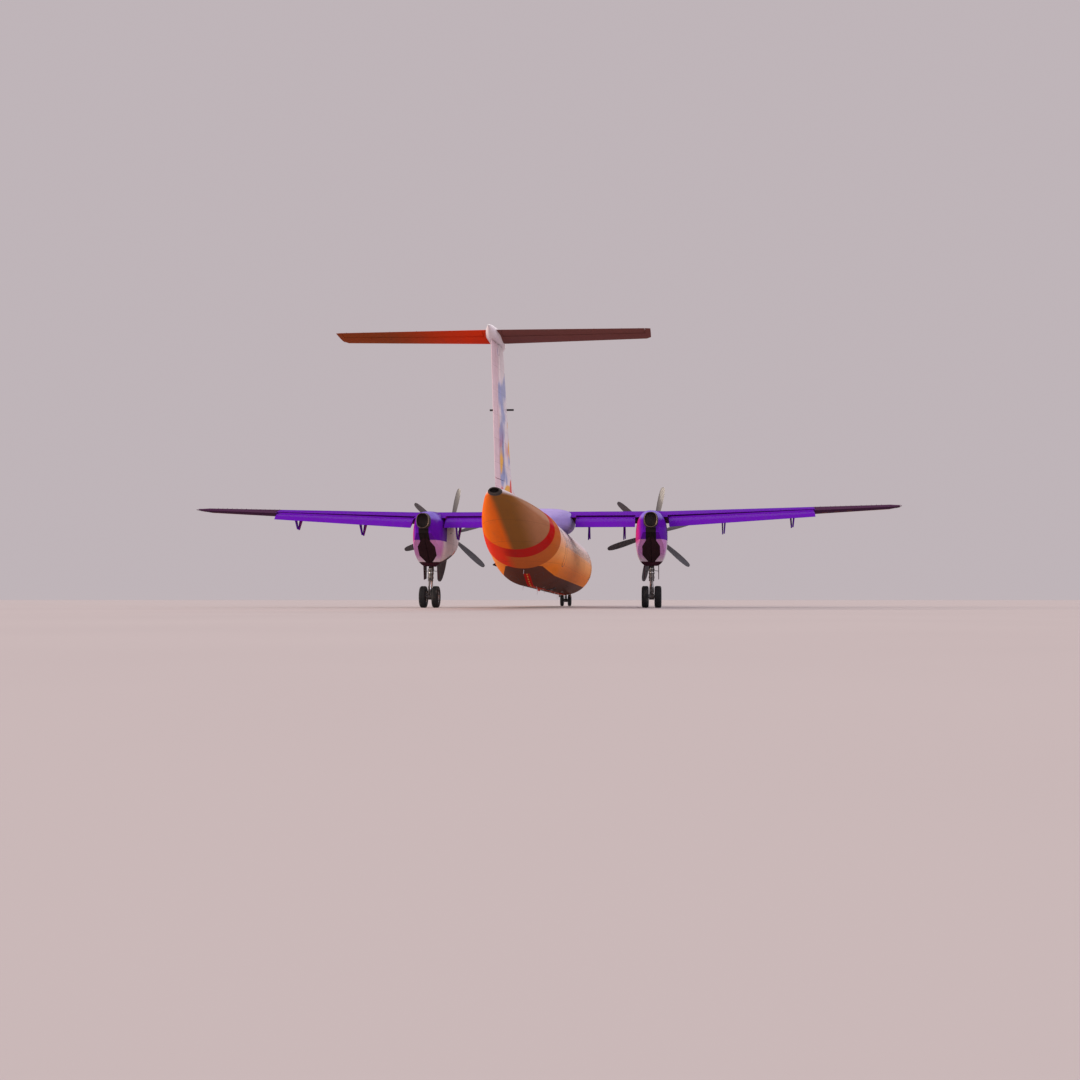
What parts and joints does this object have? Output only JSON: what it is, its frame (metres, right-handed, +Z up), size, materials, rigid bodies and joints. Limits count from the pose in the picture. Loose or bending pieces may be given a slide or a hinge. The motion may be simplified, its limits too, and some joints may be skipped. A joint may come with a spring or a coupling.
{
  "type": "turboprop airliner",
  "caption": "High-wing regional airliner with a T-tail, wing-mounted propeller engines, slotted flaps, a side airstair and tricycle landing gear",
  "frame": {"origin": "on the ground under the middle of the aircraft's bounding box, between the tyres' contact level and the centre plane", "axes": "+X forward towards the nose, +Y towards the left wing tip, +Z up from the ground the aircraft is parked on"},
  "size_m": [32.836, 28.42, 8.3405],
  "materials": {
    "white_paint": "gloss",
    "orange_paint": "gloss",
    "wing_paint": "satin",
    "purple_paint": "gloss",
    "dark_paint": "satin",
    "sooty_metal": "sooty",
    "engine_metal": "machined",
    "blade_finish": "matt composite",
    "gear_metal": "satin",
    "tyre_rubber": "matt"
  },
  "bodies": {
    "airframe": {"radome": "white_paint", "nose_fuselage": "white_paint", "cabin_fuselage": "white_paint", "rear_fuselage": "orange_paint", "tail_cone": "orange_paint", "tail_outlet": "sooty_metal", "wing_fairing": "white_paint", "side_plate": "dark_paint", "wing_center": "wing_paint", "wing_left": "wing_paint", "wing_right": "wing_paint", "fin": "white_paint", "bullet_fairing": "white_paint", "tailplane": "wing_paint", "nacelle_left": "purple_paint", "nacelle_right": "purple_paint", "front_door_inner_left": "purple_paint", "front_door_outer_left": "purple_paint", "front_door_inner_right": "purple_paint", "front_door_outer_right": "purple_paint", "exhaust_left": "sooty_metal", "exhaust_right": "sooty_metal", "engine_left": "engine_metal", "engine_right": "engine_metal", "main_leg_left": "gear_metal", "main_leg_right": "gear_metal", "nose_leg": "gear_metal", "nose_door_left": "white_paint", "nose_door_right": "white_paint"},
    "airstair": {"airstair_door": "white_paint"},
    "left_inner_flap": {"flap_inner_left": "purple_paint"},
    "right_inner_flap": {"flap_inner_right": "purple_paint"},
    "left_outer_flap": {"flap_outer_left": "purple_paint"},
    "right_outer_flap": {"flap_outer_right": "purple_paint"},
    "left_aileron": {"aileron_left": "wing_paint"},
    "right_aileron": {"aileron_right": "wing_paint"},
    "front_rudder": {"rudder_fore": "white_paint"},
    "rear_rudder": {"rudder_trailing": "white_paint"},
    "left_elevator": {"elevator_left": "wing_paint"},
    "right_elevator": {"elevator_right": "wing_paint"},
    "left_inner_gear_door": {"aft_door_inner_left": "dark_paint"},
    "left_outer_gear_door": {"aft_door_outer_left": "dark_paint"},
    "right_inner_gear_door": {"aft_door_inner_right": "dark_paint"},
    "right_outer_gear_door": {"aft_door_outer_right": "dark_paint"},
    "left_propeller": {"propeller_left": "blade_finish", "spinner_left": "white_paint"},
    "right_propeller": {"propeller_right": "blade_finish", "spinner_right": "white_paint"},
    "left_main_wheels": {"main_wheels_left": "gear_metal", "main_tyre_left_left": "tyre_rubber", "main_tyre_left_right": "tyre_rubber"},
    "right_main_wheels": {"main_wheels_right": "gear_metal", "main_tyre_right_left": "tyre_rubber", "main_tyre_right_right": "tyre_rubber"},
    "steered_fork": {"nose_fork": "gear_metal"},
    "front_wheels": {"nose_wheels": "gear_metal", "nose_tyre_left": "tyre_rubber", "nose_tyre_right": "tyre_rubber"}
  },
  "joints": [
    {"name": "airstair_hinge", "type": "hinge", "parent": "airframe", "child": "airstair", "pos_m": [12.44285, 1.12836, 1.1294], "axis": [-0.9998, 0, 0.0175], "range_deg": [0, 122]},
    {"name": "flap_inner_left_hinge", "type": "hinge", "parent": "airframe", "child": "left_inner_flap", "pos_m": [0.31348, 1.43, 2.77255], "axis": [0, 1, 0], "range_deg": [0, 33]},
    {"name": "flap_inner_right_hinge", "type": "hinge", "parent": "airframe", "child": "right_inner_flap", "pos_m": [0.31348, -1.43, 2.77255], "axis": [0, 1, 0], "range_deg": [0, 33]},
    {"name": "flap_outer_left_hinge", "type": "hinge", "parent": "airframe", "child": "left_outer_flap", "pos_m": [0.31631, 5.045, 2.77673], "axis": [0.0626, 0.9938, 0.0923], "range_deg": [0, 33]},
    {"name": "flap_outer_right_hinge", "type": "hinge", "parent": "airframe", "child": "right_outer_flap", "pos_m": [0.31631, -5.045, 2.77673], "axis": [-0.0626, 0.9938, -0.0923], "range_deg": [0, 33]},
    {"name": "aileron_left_hinge", "type": "hinge", "parent": "airframe", "child": "left_aileron", "pos_m": [0.76211, 10.85, 3.87331], "axis": [0.0567, 0.9975, 0.0423], "range_deg": [-20, 20]},
    {"name": "aileron_right_hinge", "type": "hinge", "parent": "airframe", "child": "right_aileron", "pos_m": [0.76211, -10.85, 3.87331], "axis": [-0.0567, 0.9975, -0.0423], "range_deg": [-20, 20]},
    {"name": "rudder_hinge", "type": "hinge", "parent": "airframe", "child": "front_rudder", "pos_m": [-13.62824, 0, 3.95683], "axis": [-0.327, 0, 0.945], "range_deg": [-18, 18]},
    {"name": "trailing_rudder_hinge", "type": "hinge", "parent": "front_rudder", "child": "rear_rudder", "pos_m": [-14.185, 0, 3.96655], "axis": [-0.2874, 0, 0.9578], "range_deg": [-18, 18]},
    {"name": "elevator_left_hinge", "type": "hinge", "parent": "airframe", "child": "left_elevator", "pos_m": [-15.26328, 0.29, 8.18601], "axis": [-0.002, 1, 0], "range_deg": [-20, 25]},
    {"name": "elevator_right_hinge", "type": "hinge", "parent": "airframe", "child": "right_elevator", "pos_m": [-15.26328, -0.29, 8.18601], "axis": [0.002, 1, 0], "range_deg": [-20, 25]},
    {"name": "gear_door_left_inner_hinge", "type": "hinge", "parent": "airframe", "child": "left_inner_gear_door", "pos_m": [-0.52587, 4.063, 2.05729], "axis": [-0.788, 0, 0.6157], "range_deg": [0, 80]},
    {"name": "gear_door_left_outer_hinge", "type": "hinge", "parent": "airframe", "child": "left_outer_gear_door", "pos_m": [-0.52587, 4.737, 2.05729], "axis": [0.788, 0, -0.6157], "range_deg": [0, 80]},
    {"name": "gear_door_right_inner_hinge", "type": "hinge", "parent": "airframe", "child": "right_inner_gear_door", "pos_m": [-0.52587, -4.063, 2.05729], "axis": [0.788, 0, -0.6157], "range_deg": [0, 80]},
    {"name": "gear_door_right_outer_hinge", "type": "hinge", "parent": "airframe", "child": "right_outer_gear_door", "pos_m": [-0.52587, -4.737, 2.05729], "axis": [-0.788, 0, 0.6157], "range_deg": [0, 80]},
    {"name": "propeller_left_spin", "type": "hinge", "parent": "airframe", "child": "left_propeller", "pos_m": [4.99631, 4.4, 3.11166], "axis": [0.9998, 0, -0.0175], "continuous": true},
    {"name": "propeller_right_spin", "type": "hinge", "parent": "airframe", "child": "right_propeller", "pos_m": [4.99631, -4.4, 3.11166], "axis": [0.9998, 0, -0.0175], "continuous": true},
    {"name": "main_wheels_left_roll", "type": "hinge", "parent": "airframe", "child": "left_main_wheels", "pos_m": [-0.10126, 4.4, 0.43036], "axis": [0, 1, 0], "continuous": true},
    {"name": "main_wheels_right_roll", "type": "hinge", "parent": "airframe", "child": "right_main_wheels", "pos_m": [-0.10126, -4.4, 0.43036], "axis": [0, 1, 0], "continuous": true},
    {"name": "nose_steering", "type": "hinge", "parent": "airframe", "child": "steered_fork", "pos_m": [13.8282, 0, 0.27797], "axis": [0.0175, 0, 0.9998], "range_deg": [-70, 70]},
    {"name": "nose_wheels_roll", "type": "hinge", "parent": "steered_fork", "child": "front_wheels", "pos_m": [13.8282, 0, 0.27797], "axis": [0, 1, 0], "continuous": true}
  ],
  "couplings": [
    {"joint": "flap_inner_right_hinge", "follows": "flap_inner_left_hinge", "ratio": 1},
    {"joint": "flap_outer_left_hinge", "follows": "flap_inner_left_hinge", "ratio": 1},
    {"joint": "flap_outer_right_hinge", "follows": "flap_inner_left_hinge", "ratio": 1},
    {"joint": "aileron_right_hinge", "follows": "aileron_left_hinge", "ratio": -1},
    {"joint": "elevator_right_hinge", "follows": "elevator_left_hinge", "ratio": 1},
    {"joint": "trailing_rudder_hinge", "follows": "rudder_hinge", "ratio": 1},
    {"joint": "gear_door_left_outer_hinge", "follows": "gear_door_left_inner_hinge", "ratio": 1},
    {"joint": "gear_door_right_outer_hinge", "follows": "gear_door_right_inner_hinge", "ratio": 1}
  ]
}
